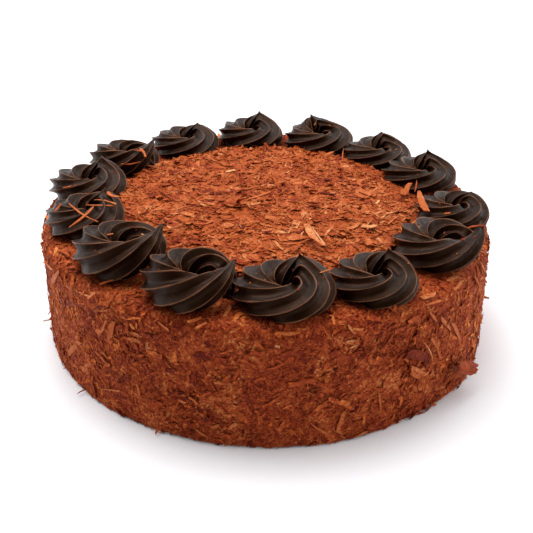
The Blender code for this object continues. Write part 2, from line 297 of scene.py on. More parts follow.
def add_ramp(material, share, colours, start=0.0):
    """A ramp from the first colour at the start to the last at 1, with the others between them."""
    ramp = add_node(material, "ValToRGB", {"Fac": share})
    while len(ramp.color_ramp.elements) < len(colours):
        ramp.color_ramp.elements.new(1.0)
    for i, colour in enumerate(colours):
        ramp.color_ramp.elements[i].position = start + (1 - start) * i / (len(colours) - 1)
        ramp.color_ramp.elements[i].color = linear(colour)
    return ramp.outputs["Color"]


def finish_wax(material, shader, colour, bump, roughness):
    """Gives a shader of waxy chocolate its colour, its bump and how dull it is."""
    material.node_tree.links.new(colour, shader.inputs["Base Color"])
    material.node_tree.links.new(bump.outputs["Normal"], shader.inputs["Normal"])
    shader.inputs["Roughness"].default_value = roughness
    shader.inputs["Specular IOR Level"].default_value = WAX_SPECULAR


def matted_shavings(name, colours, smear):
    """A surface of shavings that lie so close that they can't be told apart, with paler smears."""
    material, shader = new_material(name)
    place = add_node(material, "TexCoord", {}).outputs["Object"]
    sockets = {"Vector": place, "Scale": 1 / SWIRL_SIZE, "Detail": 1.0}
    swirl = add_node(material, "TexNoise", sockets).outputs["Color"]
    sockets = {0: swirl, 1: (SWIRL_REACH,) * 3, 2: place}
    warp = add_node(material, "VectorMath", sockets, operation="MULTIPLY_ADD").outputs["Vector"]
    scales, slips = (
        add_node(material, "TexVoronoi", {"Vector": warp, "Scale": 1 / size}).outputs["Color"]
        for size in (SCALE_SIZE, SLIP_SIZE)
    )
    layers = add_node(material, "Mix", {"Factor": 0.5, "A": scales, "B": slips}, data_type="RGBA")
    grain = add_noise(material, place, GRAIN_SIZE, 4.0, 0.7)
    mixed = multiply_add(material, layers.outputs["Result"], SCALE_SHARE, grain)
    spread = map_range(material, mixed, *SCALE_RANGE, 0.0, 1.0)
    smears = add_noise(material, place, SMEAR_SIZE, 3.0)
    drift = map_range(material, smears, *SMEAR_RANGE, -smear, smear)
    total = add_node(material, "Math", {0: spread, 1: drift}, operation="ADD").outputs[0]
    bump = add_node(material, "Bump", {"Height": mixed, "Strength": 0.7, "Distance": 0.7 * MM})
    finish_wax(material, shader, add_ramp(material, total, colours), bump, MAT_ROUGHNESS)
    return material


dredged_mousse = matted_shavings(
    "mousse_dredged_with_shavings", ("#4a1108", "#7e2d14", "#9d461f", "#c37b47"), smear=0.20
)
drum.data.materials.append(dredged_mousse)
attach(drum, "root")
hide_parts("torte")


# The shavings of the coat: slips of chocolate scraped off a block with a blade, so they are thin,
# ragged at their ends and a little curled. They are pressed on by hand, and lie any way.

# How many of each kind there are, and their least and most length, width and thickness in mm
COAT_FINE = {"count": 9800, "length": (1.2, 5.0), "width": (0.4, 1.2), "thick": (0.12, 0.3)}
COAT_BROAD = {"count": 3600, "length": (2.5, 8.5), "width": (1.2, 3.6), "thick": (0.15, 0.3)}
COAT_SHEETS = {"count": 260, "length": (6.0, 12.0), "width": (2.5, 6.0), "thick": (0.15, 0.3)}
# Most are short and narrow: the powers are of an even random share of the way from least to most
LENGTH_POWER = 2.0
WIDTH_POWER = 1.6
BROADEST = 0.7
# How far a shaving twists and sways in degrees, how much its ends narrow, and its narrowest share
TWIST = 16.0
SWAY = 25.0
END_TAPER = 0.8
NARROWEST = 0.45
STRAIGHTEST = 0.001
SHARPEST_BEND = math.radians(60)
LOOSE_SHARE = 0.08
LOOSE_LIFT = 26.0
COAT_LIFT = 0.15 * MM
COAT_LAP = 2.5 * MM
COAT_SHADE = (0.40, 0.14)
LOWEST = 0.05 * MM
SPARE_PLACES = 4
SHAVING_SEED = 21

rosette_boxes = [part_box(f"rosette_{number:02d}") for number in range(1, 15)]
rosette_centres = np.array([((low + high) / 2)[:2] for low, high in rosette_boxes])
rosette_reaches = np.array([(high - low)[0] / 2 for low, high in rosette_boxes])


def shaving_sizes(rng, kind):
    """The length, width and thickness of each shaving of this kind."""
    count = kind["count"]
    length = MM * (kind["length"][0] + np.ptp(kind["length"]) * rng.random(count) ** LENGTH_POWER)
    width = MM * (kind["width"][0] + np.ptp(kind["width"]) * rng.random(count) ** WIDTH_POWER)
    return length, np.minimum(width, BROADEST * length), MM * rng.uniform(*kind["thick"], count)


def cut_shavings(rng, length, width, thick, curl, sections, sway=SWAY):
    """The corners of shavings that lie flat along X: shaving, section, corner and coordinate."""
    count = len(length)
    shape = (count, sections)
    along = np.linspace(-0.5, 0.5, sections)
    bend = np.radians(rng.normal(0.0, curl, count))[:, None] + STRAIGHTEST
    slope = bend * along
    bow = np.radians(rng.normal(0.0, sway, count))[:, None] * (along**2 - 0.1)
    spine_x = length[:, None] * np.sin(slope) / bend
    spine_y = length[:, None] * bow
    spine_z = length[:, None] * (1 - np.cos(slope)) / bend
    twist = np.radians(rng.normal(0.0, TWIST, count))[:, None] * along
    ends = 1 - END_TAPER * np.abs(2 * along) ** 2 * rng.random(shape)
    corners = np.empty((*shape, 4, 3))
    for side in (1, -1):
        half = 0.5 * side * width[:, None] * ends * rng.uniform(NARROWEST, 1.0, shape)
        ragged = 0.5 * length[:, None] / sections * rng.uniform(-1.0, 1.0, shape)
        for face in (1, -1):
            corner = {(1, 1): 0, (-1, 1): 1, (-1, -1): 2, (1, -1): 3}[side, face]
            up = face * thick[:, None] / 2
            corners[:, :, corner, 0] = spine_x + ragged - up * np.sin(slope)
            corners[:, :, corner, 1] = spine_y + half * np.cos(twist) - up * np.sin(twist)
            corners[:, :, corner, 2] = spine_z + half * np.sin(twist) + up * np.cos(twist)
    return corners


def leaning(rng, lift, count):
    """How far each shaving leans: most lie nearly flat, and a few have sprung loose."""
    loose = rng.random(count) < LOOSE_SHARE
    return np.radians(rng.normal(0.0, lift, count) + loose * rng.normal(0.0, LOOSE_LIFT, count))


def set_down(x, y, z, ahead, aside, up, places):
    """Turns the X, Y and Z of each shaving's corners to these ways, and moves it to its place."""
    ways = [way[:, None, None] for way in (ahead, aside, up, places)]
    return x[..., None] * ways[0] + y[..., None] * ways[1] + z[..., None] * ways[2] + ways[3]


def lay_shavings(rng, corners, places, normals, lift):
    """Lays each shaving at its place on the torte, turned any way and leaning a little."""
    count = len(places)
    heading = rng.uniform(0.0, 2 * math.pi, count)
    pitch, roll = (leaning(rng, lift, count)[:, None, None] for _ in range(2))
    x, y, z = np.moveaxis(corners, 3, 0)
    y, z = y * np.cos(roll) - z * np.sin(roll), y * np.sin(roll) + z * np.cos(roll)
    x, z = x * np.cos(pitch) - z * np.sin(pitch), x * np.sin(pitch) + z * np.cos(pitch)
    bearing = np.arctan2(places[:, 1], places[:, 0])
    level = np.stack([-np.sin(bearing), np.cos(bearing), np.zeros_like(bearing)], axis=1)
    rising = np.cross(normals, level)
    ahead = np.cos(heading)[:, None] * level + np.sin(heading)[:, None] * rising
    return set_down(x, y, z, ahead, np.cross(normals, ahead), normals, places)


def add_piece(name, spots, faces, mark, values):
    """A smooth mesh object, marked at each vertex with a value that its material reads."""
    mesh = bpy.data.meshes.new(name)
    mesh.from_pydata(spots.reshape(-1, 3), [], faces)
    marks = mesh.attributes.new(mark, "FLOAT", "POINT")
    marks.data.foreach_set("value", values.astype(np.float32))
    mesh.shade_smooth()
    piece = bpy.data.objects.new(name, mesh)
    bpy.context.collection.objects.link(piece)
    return piece


def join_shavings(name, corners, shades):
    """One mesh object of all the shavings, with each one's shade from dark 0 to pale 1."""
    count, sections = corners.shape[:2]
    ring = np.arange(sections * 4).reshape(sections, 4)
    walls = [
        (ring[s, k], ring[s, (k + 1) % 4], ring[s + 1, (k + 1) % 4], ring[s + 1, k])
        for s in range(sections - 1)
        for k in range(4)
    ]
    faces = np.array([*walls, ring[0, ::-1], ring[-1]])
    faces = (faces[None] + sections * 4 * np.arange(count)[:, None, None]).reshape(-1, 4)
    piece = add_piece(name, corners, faces, "shade", np.repeat(shades, sections * 4))
    piece.data.set_sharp_from_angle(angle=SHARPEST_BEND)
    return piece


def clear_of_rosettes(places, margin):
    """Which places are at least this far outside every rosette."""
    away = np.linalg.norm(places[:, None, :2] - rosette_centres[None], axis=2)
    return (away - rosette_reaches[None] > margin).all(axis=1)


def coat_places(rng, count):
    """Places spread evenly over the side, the shoulder and the rim, and the ways the coat faces."""
    drawn = SPARE_PLACES * count
    side = TORTE_HEIGHT - SHOULDER_RADIUS
    bend = SHOULDER_RADIUS * math.pi / 2
    rim = TORTE_RADIUS - SHOULDER_RADIUS - HEAP_RADIUS
    reach = rng.uniform(0.0, side + bend + rim, drawn)
    lean = np.clip((reach - side) / bend, 0.0, 1.0) * math.pi / 2
    radius = TORTE_RADIUS - SHOULDER_RADIUS * (1 - np.cos(lean))
    radius -= np.clip(reach - side - bend, 0.0, rim)
    height = np.minimum(reach, side) + SHOULDER_RADIUS * np.sin(lean)
    keep = rng.random(drawn) < radius / TORTE_RADIUS
    bearing = rng.uniform(0.0, 2 * math.pi, drawn)
    places = np.stack([radius * np.cos(bearing), radius * np.sin(bearing), height], axis=1)
    normals = np.stack(
        [np.cos(bearing) * np.cos(lean), np.sin(bearing) * np.cos(lean), np.sin(lean)], axis=1
    )
    keep &= clear_of_rosettes(places, -COAT_LAP) | (height < side)
    return places[keep][:count], normals[keep][:count]


# Scraped chocolate: matt and waxy, each shaving in its own shade, mottled where the blade tore it,
# with slow drifts of shade from one handful to the next
TEAR_SIZE = 1.3 * MM
DRIFT_SIZE = 11 * MM
DRIFT_SHARE = 0.5
MOTTLE_RANGE = (0.45, 1.05)
MOTTLING = 0.36


def chocolate(name, colours, roughness):
    """The waxy material of loose shavings, from its darkest colour to its palest."""
    material, shader = new_material(name)
    place = add_node(material, "TexCoord", {}).outputs["Object"]
    shade = add_node(material, "Attribute", {}, attribute_name="shade").outputs["Fac"]
    tears = add_noise(material, place, TEAR_SIZE, 4.0, 0.65)
    drifts = add_noise(material, place, DRIFT_SIZE, 2.0)
    both = multiply_add(material, drifts, DRIFT_SHARE, tears)
    spread = map_range(material, both, *MOTTLE_RANGE, -MOTTLING, MOTTLING)
    total = add_node(material, "Math", {0: shade, 1: spread}, operation="ADD").outputs[0]
    bump = add_node(material, "Bump", {"Height": tears, "Strength": 0.6, "Distance": 0.5 * MM})
    finish_wax(material, shader, add_ramp(material, total, colours), bump, roughness)
    return material


# Where the coat is paler or darker: painted light on both flanks, where the tent's sides light it,
# and partly paler shavings there; painted shade at the front, which the tent lights least; and
# darker along the front of the foot. Each patch's bearing in degrees and its share of the height,
# how far it spreads in both, and how much it adds to the shade
COAT_LIGHT_SHADE_AND_TONE_PATCHES = (
    (-26, 0.50, 17, 0.45, 0.23),
    (-92, 0.80, 38, 0.40, -0.06),
    (-95, 0.35, 30, 0.35, -0.05),
    (-145, 0.75, 22, 0.35, 0.12),
    (-160, 0.35, 28, 0.40, 0.11),
    (-112, 0.02, 32, 0.10, -0.07),
)


def coat_light_shade_and_tone(places):
    """How much paler the coat is here: partly painted light and shade, partly its own tone."""
    bearing = np.degrees(np.arctan2(places[:, 1], places[:, 0]))
    high = places[:, 2] / TORTE_HEIGHT
    paler = np.zeros(len(places))
    for patch_bearing, share, wide, tall, change in COAT_LIGHT_SHADE_AND_TONE_PATCHES:
        away = (bearing - patch_bearing + 180) % 360 - 180
        paler += change * np.exp(-((away / wide) ** 2) - ((high - share) / tall) ** 2)
    return paler


coat_chocolate = chocolate(
    "scraped_dark_milk_chocolate",
    ("#440f07", "#782911", "#9d431e", "#c46830", "#de9458"),
    roughness=0.6,
)
rng = np.random.default_rng(SHAVING_SEED)
# Each kind's name, sizes, sections, curl and lean in degrees, and how unevenly it stands out
for name, kind, sections, curl, lift, stand in (
    ("coat_fine_shavings", COAT_FINE, 3, 30.0, 9.0, 0.22 * MM),
    ("coat_broad_shavings", COAT_BROAD, 5, 30.0, 7.0, 0.40 * MM),
    ("coat_sheets", COAT_SHEETS, 7, 16.0, 3.0, 0.25 * MM),
):
    places, normals = coat_places(rng, kind["count"])
    count = len(places)
    places += normals * rng.normal(COAT_LIFT, stand, count)[:, None]
    length, width, thick = (size[:count] for size in shaving_sizes(rng, kind))
    corners = cut_shavings(rng, length, width, thick, curl, sections)
    corners = lay_shavings(rng, corners, places, normals, lift)
    corners[..., :2] *= swollen(corners)
    corners[..., 2] = np.maximum(corners[..., 2], LOWEST)
    # Each shade takes the coat's painted light and shade from its patches
    shades = np.clip(rng.normal(*COAT_SHADE, count) + coat_light_shade_and_tone(places), 0.0, 1.0)
    piece = join_shavings(name, corners, shades)
    piece.data.materials.append(coat_chocolate)
    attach(piece, "root")


# The heap: loose shavings of a lighter milk chocolate, strewn inside the ring of rosettes, several
# deep. They lap the feet of the rosettes and run out between them.
HEAP_EDGE_HEIGHT = 3.6 * MM
HEAP_MIDDLE_HEIGHT = 7.2 * MM
HEAP_STEPS = 480
HEAP_RINGS = 84
RINGS_REACH = 0.98
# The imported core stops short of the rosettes, and lies a little under the shavings and well under
# them at its edge, while the loose shavings lap the rosettes' feet
CORE_GAP = 0.9 * MM
CORE_DEPTH = 0.1 * MM
CORE_EDGE_DEPTH = 0.6 * HEAP_EDGE_HEIGHT
CORE_EDGE_SHARE = 0.999
CORE_LUMPS = ((5 * MM, 0.5 * MM), (1.6 * MM, 0.4 * MM))
HEAP_LAP = 1.5 * MM
HEAP_FINE = {"count": 9000, "length": (1.8, 7.5), "width": (0.5, 1.9), "thick": (0.12, 0.3)}
HEAP_BROAD = {"count": 3000, "length": (4.0, 11.0), "width": (1.8, 4.6), "thick": (0.15, 0.3)}
HEAP_SHEETS = {"count": 650, "length": (7.0, 16.0), "width": (3.0, 7.0), "thick": (0.12, 0.25)}
HEAP_SLIVERS = {"count": 1100, "length": (4.0, 14.0), "width": (0.7, 2.2), "thick": (0.12, 0.3)}
HEAP_SHADE = (0.465, 0.14)
# Where the heap is paler or darker: each patch's place and spread in mm, and what it adds
HEAP_PATCHES = (
    (50, -18, 24, 0.10),
    (-38, 22, 34, -0.05),
    (14, 14, 18, -0.05),
    (-5, -52, 26, 0.03),
)
HEAP_SWELL = 0.45 * MM
HEAP_SWELL_WIDTHS = (19 * MM, 26 * MM)
HEAP_SEED = 8

heap_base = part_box("flake_heap")[0].z


def heap_reach(bearings, clearance):
    """How far from the middle the heap reaches at each bearing, stopping short of every rosette."""
    reach = np.full(len(bearings), HEAP_RADIUS)
    for centre, size in zip(rosette_centres, rosette_reaches):
        away = bearings - math.atan2(centre[1], centre[0])
        far = np.linalg.norm(centre)
        across = np.abs(far * np.sin(away))
        room = (size + clearance) ** 2 - across**2
        meets = (np.cos(away) > 0) & (room > 0)
        edge = far * np.cos(away) - np.sqrt(np.maximum(room, 0.0))
        reach = np.where(meets, np.minimum(reach, edge), reach)
    return reach


def heap_height(share, x, y):
    """The heap's height, with low swells, at this share of the way from its middle to its edge."""
    dome = (HEAP_MIDDLE_HEIGHT - HEAP_EDGE_HEIGHT) * (1 - share**2)
    ways = zip((x + y / 3, y - x / 4), HEAP_SWELL_WIDTHS)
    waves = [np.sin(2 * math.pi * along / width) for along, width in ways]
    return heap_base + HEAP_EDGE_HEIGHT + dome + HEAP_SWELL * waves[0] * waves[1]


bpy.ops.mesh.primitive_circle_add(
    vertices=HEAP_STEPS, radius=HEAP_RADIUS, fill_type="NGON", location=(0.0, 0.0, heap_base)
)
mound = bpy.context.object
mound.name = "heap_core"
bpy.ops.object.transform_apply(location=True, rotation=True, scale=True)
bpy.ops.object.mode_set(mode="EDIT")
bpy.ops.mesh.select_all(action="SELECT")
bpy.ops.mesh.extrude_region_move(
    TRANSFORM_OT_translate={"value": (0.0, 0.0, HEAP_EDGE_HEIGHT / 2)}
)
for _ in range(HEAP_RINGS):
    bpy.ops.mesh.inset(thickness=RINGS_REACH * HEAP_RADIUS / HEAP_RINGS)
bpy.ops.object.mode_set(mode="OBJECT")
spots = read_spots(mound)
share = np.hypot(spots[:, 0], spots[:, 1]) / HEAP_RADIUS
reach = heap_reach(np.arctan2(spots[:, 1], spots[:, 0]), CORE_GAP)
lowered = np.where(share > CORE_EDGE_SHARE, CORE_EDGE_DEPTH, CORE_DEPTH)
is_top = spots[:, 2] > heap_base + HEAP_EDGE_HEIGHT / 4
spots[:, :2] *= (reach / HEAP_RADIUS)[:, None]
top = heap_height(share, spots[:, 0], spots[:, 1]) - lowered
spots[:, 2] = np.where(is_top, top, spots[:, 2])
mound.data.vertices.foreach_set("co", spots.ravel())
mound.data.shade_smooth()
for size, depth in CORE_LUMPS:
    displace(mound, size, depth)

packed_shavings = matted_shavings(
    "packed_milk_chocolate_shavings", ("#681e0b", "#933c19", "#ab5529", "#c67c4a"), smear=0.12
)
mound.data.materials.append(packed_shavings)
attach(mound, "root")
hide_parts("flake_heap")

heap_chocolate = chocolate(
    "scraped_milk_chocolate",
    ("#541407", "#7f2d11", "#a04c1f", "#b16136", "#cc9464"),
    roughness=0.55,
)
rng = np.random.default_rng(HEAP_SEED)
# Each kind's name, sizes, sections, curl and lean in degrees, and how deep and high it lies in mm
for name, kind, sections, curl, lift, lowest, highest in (
    ("heap_fine_shavings", HEAP_FINE, 3, 34.0, 9.0, -0.9, 0.0),
    ("heap_broad_shavings", HEAP_BROAD, 5, 34.0, 5.0, -0.6, 0.1),
    ("heap_sheets", HEAP_SHEETS, 7, 26.0, 3.0, -0.2, 0.3),
    ("heap_slivers", HEAP_SLIVERS, 5, 34.0, 4.0, -0.1, 0.5),
):
    count = kind["count"]
    bearings = rng.uniform(-math.pi, math.pi, count)
    share = np.sqrt(rng.random(count))
    reach = heap_reach(bearings, -HEAP_LAP) * share
    x, y = reach * np.cos(bearings), reach * np.sin(bearings)
    height = heap_height(share, x, y) + rng.uniform(lowest * MM, highest * MM, count)
    places = np.stack([x, y, height], axis=1)
    normals = np.tile((0.0, 0.0, 1.0), (count, 1))
    corners = cut_shavings(rng, *shaving_sizes(rng, kind), curl, sections)
    corners = lay_shavings(rng, corners, places, normals, lift)
    shades = rng.normal(*HEAP_SHADE, count)
    for patch_x, patch_y, wide, change in HEAP_PATCHES:
        away = np.hypot(x / MM - patch_x, y / MM - patch_y)
        shades += change * np.exp(-((away / wide) ** 2))
    piece = join_shavings(name, corners, np.clip(shades, 0.0, 1.0))
    piece.data.materials.append(heap_chocolate)
    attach(piece, "root")


# The rosettes: soft dark ganache pressed through a wide open-star nozzle in one turn round a well.
# The rope grows as it goes round and ends over its own start. Where the nozzle lets go, the ridges
# run together into a peak: some were drawn off to the side, the others straight up.
NOZZLE_POINTS = 7
NOZZLE_VALLEY = 0.66
STEPS_PER_POINT = 12
CREST_POWER = 1.5
RIDGE_CHANGE = 0.16
RIDGE_WAVES = 2.2
PATH_SECTIONS = 170
TIP_SECTIONS = 7
# How many degrees before the peak the rope starts, is full and begins its tail, and how far it laps
START_TURN = 376.0
START_CAP_TURN = 28.0
TAIL_TURN = 125.0
LAP_TURN = 70.0
# The rope's first and last width in reaches, and its first and last top in rises
ROPE_WIDTH = (0.78, 0.93)
ROPE_TOP = (0.68, 0.80)
ROPE_BOTTOM = -0.10
# What share of its width, top and reach the rope starts with, and what share it ends its lap with
START_SHARES = (0.35, 0.45, 0.9)
LAP_SHARES = (0.15, 0.5, 0.7)
PEAK_HEIGHT = 0.98
# The tail thins to this share, sooner at its bottom than at its top, and its tip comes to a point
TAIL_END = 0.07
TAIL_POWERS = (1.3, 2.9)
TIP_POWER = 0.6
# A peak drawn straight up pulls in what lies within this many reaches, down to half the rise
PULL_REACH = 0.62
PULL_POWER = 1.4
PULL_FOOT = 0.5
GATHERED = 0.92
FLARE_POWER = 1.3
FLARE_LOW = 0.5
FLARE_HIGH = 0.8
GANACHE_FOOT = 0.3 * MM
GANACHE_LUMPS = ((7 * MM, 0.35 * MM), (2.5 * MM, 0.10 * MM))
# Where each rosette's peak points in degrees, how far it lies from the middle in reaches, the turn,
# length and rise of its tip in degrees and mm, how far the rosette flares out to the left in mm,
# how much higher its rope and lower its peak are in rises, and how many times as wide it is
PEAKS = (
    (5, 0.90, 40, 2.2, -0.6, 3.6, 0.14, 1.05),
    (48, 0.50, 150, 3.0, 2.2, 4.2, 0, 1.05),
    (46, 0.50, 150, 2.4, 0.7, 2.2, 0, 1.05),
    (8, 0.88, 20, 1.8, 0.6, 0, 0, 1.05),
    (30, 0.56, 90, 1.4, -2.4, 2.6, 0, 1.05),
    (60, 0.45, 140, 1.8, 2.4, 5.0, 0, 1.05),
    (70, 0.50, 170, 2.4, 1.6, 3.6, 0, 1.14),
    (110, 0.40, 175, 3.0, 2.0, 1.2, 0, 1.05),
    (58, 0.50, 120, 1.8, 2.0, 1.2, 0, 1.05),
    (50, 0.50, 110, 1.2, 0.0, 1.8, 0, 1.05),
    (5, 0.84, 30, 1.8, 0.6, 2.8, 0, 1.05),
    (52, 0.55, 130, 2.0, 2.0, 2.6, 0, 1.05),
    (36, 0.60, 100, 1.6, 1.0, 2.4, 0, 1.05),
    (5, 0.92, 30, 3.2, -1.6, 0.5, 0.03, 1.05),
)
SIDEWAYS = 0.8
PIPING_SEED = 3


def ease(value, low, high):
    """Goes smoothly from 0 at low to 1 at high."""
    share = np.clip((value - low) / (high - low), 0.0, 1.0)
    return share * share * (3 - 2 * share)


# Steps round the nozzle, closer together near its points, and how far each lies from one: 0 to 1
even_steps = np.arange(NOZZLE_POINTS * STEPS_PER_POINT) / STEPS_PER_POINT
from_point = (even_steps + 0.5) % 1 - 0.5
off_crest = (2 * np.abs(from_point)) ** CREST_POWER
nozzle_steps = np.round(even_steps - from_point) + np.sign(from_point) * off_crest / 2


def rope_sections(rng, bearing, distance, last_turn, levelled):
    """The rope's cross-sections along the path, in reaches: section, corner and coordinate.

    Each ridge stands out more and less as it goes round, as the nozzle is never held quite still.
    """
    left = np.linspace(START_TURN, last_turn, PATH_SECTIONS)[:, None]
    turn = np.radians(bearing - left)
    grown = ease(START_TURN - left, 0.0, START_CAP_TURN)
    piped = np.clip((START_TURN - left) / (START_TURN - TAIL_TURN), 0.0, 1.0)
    lapped = 1 - (1 - LAP_SHARES[0]) * ease(-left, 0.0, LAP_TURN)
    start_width, start_top, start_outer = (first + (1 - first) * grown for first in START_SHARES)
    lap_top, lap_outer = (last + (1 - last) * lapped for last in LAP_SHARES[1:])
    width = (ROPE_WIDTH[0] + np.ptp(ROPE_WIDTH) * piped) * start_width * lapped
    top = (ROPE_TOP[0] + np.ptp(ROPE_TOP) * piped) * start_top * lap_top
    outer = start_outer * lap_outer
    swells = rng.uniform(0.0, 2 * math.pi, NOZZLE_POINTS)
    ridge = np.round(even_steps - from_point).astype(int) % NOZZLE_POINTS
    ridge_height = 1 - RIDGE_CHANGE + RIDGE_CHANGE * np.sin(RIDGE_WAVES * turn + swells[ridge])
    star = NOZZLE_VALLEY + (1 - NOZZLE_VALLEY) * ridge_height * (1 - off_crest) ** 2
    round_rope = 2 * math.pi * nozzle_steps / NOZZLE_POINTS + turn
    out = outer - width / 2 + width / 2 * star * np.cos(round_rope)
    up = (top + ROPE_BOTTOM) / 2 + (top - ROPE_BOTTOM) / 2 * star * np.sin(round_rope)
    up *= 1 + levelled
    if distance > SIDEWAYS:
        tail = np.clip(1 - left / TAIL_TURN, 0.0, 1.0)
        low = 0.5 - 0.5 * np.sin(round_rope)
        drawn = (1 - TAIL_END) * tail ** (TAIL_POWERS[0] + np.ptp(TAIL_POWERS) * low)
        out += (distance - out) * drawn
        up += (PEAK_HEIGHT * (1 - levelled) - up) * drawn
    return np.stack([out * np.cos(turn), out * np.sin(turn), up], axis=-1)


def pipe_rosette(name, rng, centre, reach, rise, peak):
    """Pipes one rosette, and draws its peak straight up or off to the side into a bent tip."""
    bearing, distance, tip_turn, tip_length, tip_rise, flare, levelled, fuller = peak
    reach *= fuller
    sideways = distance > SIDEWAYS
    last_turn = 0.0 if sideways else -LAP_TURN
    rope = rope_sections(rng, bearing, distance, last_turn, levelled) * (reach, reach, rise)
    tip_turn = math.radians(tip_turn)
    tip_way = (math.cos(tip_turn), math.sin(tip_turn))
    lean = np.array([tip_length * tip_way[0], tip_length * tip_way[1], tip_rise]) * MM
    if sideways:
        drawn = np.linspace(0.0, 1.0, TIP_SECTIONS + 1)[1:, None, None]
        last = rope[-1].mean(axis=0)
        tip = last + (rope[-1] - last) * (1 - drawn) ** TIP_POWER + lean * drawn ** (1, 1, 2)
        rope = np.concatenate([rope, tip])
    else:
        peak_way = np.array([math.cos(math.radians(bearing)), math.sin(math.radians(bearing))])
        away = rope[..., :2] - distance * reach * peak_way
        near = np.clip(1 - np.linalg.norm(away, axis=-1) / (PULL_REACH * reach), 0.0, 1.0)
        pull = near**PULL_POWER * np.clip(rope[..., 2] / (PULL_FOOT * rise), 0.0, 1.0)
        rope[..., :2] -= away * (GATHERED * pull**1.5)[..., None]
        rope[..., :2] += lean[:2] * (pull**2)[..., None]
        rope[..., 2] += (PEAK_HEIGHT * rise + lean[2] - rope[..., 2]) * pull
    flared = np.clip(-rope[..., 0] / reach, 0.0, 1.0) ** FLARE_POWER
    rope[..., 0] -= flare * MM * flared * (FLARE_LOW + FLARE_HIGH * rope[..., 2] / rise)
    rope[..., 2] = np.maximum(rope[..., 2], GANACHE_FOOT)
    rope += (*centre, TORTE_HEIGHT)
    sections, corners = rope.shape[:2]
    ring = np.arange(sections * corners).reshape(sections, corners)
    near, far = ring[:-1], ring[1:]
    walls = np.stack([near, far, np.roll(far, -1, axis=1), np.roll(near, -1, axis=1)], axis=-1)
    faces = [*walls.reshape(-1, 4).tolist(), ring[0].tolist(), ring[-1, ::-1].tolist()]
    piece = add_piece(name, rope, faces, "crest", np.tile(1 - off_crest, sections))
    bpy.ops.object.select_all(action="DESELECT")
    bpy.context.view_layer.objects.active = piece
    piece.select_set(True)
    for size, depth in GANACHE_LUMPS:
        displace(piece, size, depth)
    return piece


# Dark chocolate ganache: nearly black, with the satin skin that soft chocolate takes as it sets.
# Its thin ridges are painted browner: a painted highlight where light catches their edges and comes
# through them. The nozzle left fine lines along its grooves.
CREST_HIGHLIGHT_START = 0.90
SKIN_SIZE = 1.6 * MM
NOZZLE_LINES = 9.0
NOZZLE_LINE_SHARE = 0.8
# The skin is more and less dull in patches: their size and range, and the roughness in them
PATCH_SIZE = 6 * MM
PATCH_RANGE = (0.35, 0.65)
SATIN = (0.26, 0.42)
SATIN_SPECULAR = 0.21

ganache, shader = new_material("set_dark_ganache")
place = add_node(ganache, "TexCoord", {}).outputs["Object"]
crest = add_node(ganache, "Attribute", {}, attribute_name="crest").outputs["Fac"]
# The painted highlight on the crests: near black, going brown towards each crest
colour = add_ramp(ganache, crest, ("#190b05", "#744a34"), CREST_HIGHLIGHT_START)
skin = add_noise(ganache, place, SKIN_SIZE, 5.0, 0.65)
across = add_node(ganache, "Math", {0: crest, 1: NOZZLE_LINES}, operation="MULTIPLY").outputs[0]
lines = add_node(
    ganache, "TexNoise", {"W": across, "Detail": 3.0, "Roughness": 0.7}, noise_dimensions="1D"
).outputs["Fac"]
grooved = multiply_add(ganache, lines, NOZZLE_LINE_SHARE, skin)
bump = add_node(ganache, "Bump", {"Height": grooved, "Strength": 0.3, "Distance": 0.3 * MM})
patches = add_noise(ganache, place, PATCH_SIZE, 2.0)
dulling = map_range(ganache, patches, *PATCH_RANGE, *SATIN)
ganache.node_tree.links.new(colour, shader.inputs["Base Color"])
ganache.node_tree.links.new(bump.outputs["Normal"], shader.inputs["Normal"])
ganache.node_tree.links.new(dulling, shader.inputs["Roughness"])
shader.inputs["Specular IOR Level"].default_value = SATIN_SPECULAR
shader.inputs["Specular Tint"].default_value = linear("#c08a64")

rng = np.random.default_rng(PIPING_SEED)
for number, ((low, high), centre, reach, peak) in enumerate(
    zip(rosette_boxes, rosette_centres, rosette_reaches, PEAKS), 1
):
    rise = (high.z - TORTE_HEIGHT) / PEAK_HEIGHT
    piece = pipe_rosette(f"piped_rosette_{number:02d}", rng, centre, reach, rise, peak)
    piece.data.materials.append(ganache)
    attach(piece, "root")
    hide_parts(f"rosette_{number:02d}")


# Stray shavings: the ones that fell on the rosettes or stick out of the coat, and the largest on
# the side and the heap, with three dark slips that are painted shade in the heap's crevices. Each
# lies where the photograph shows it, on whatever surface is there.
PHOTO_SIZE = 533
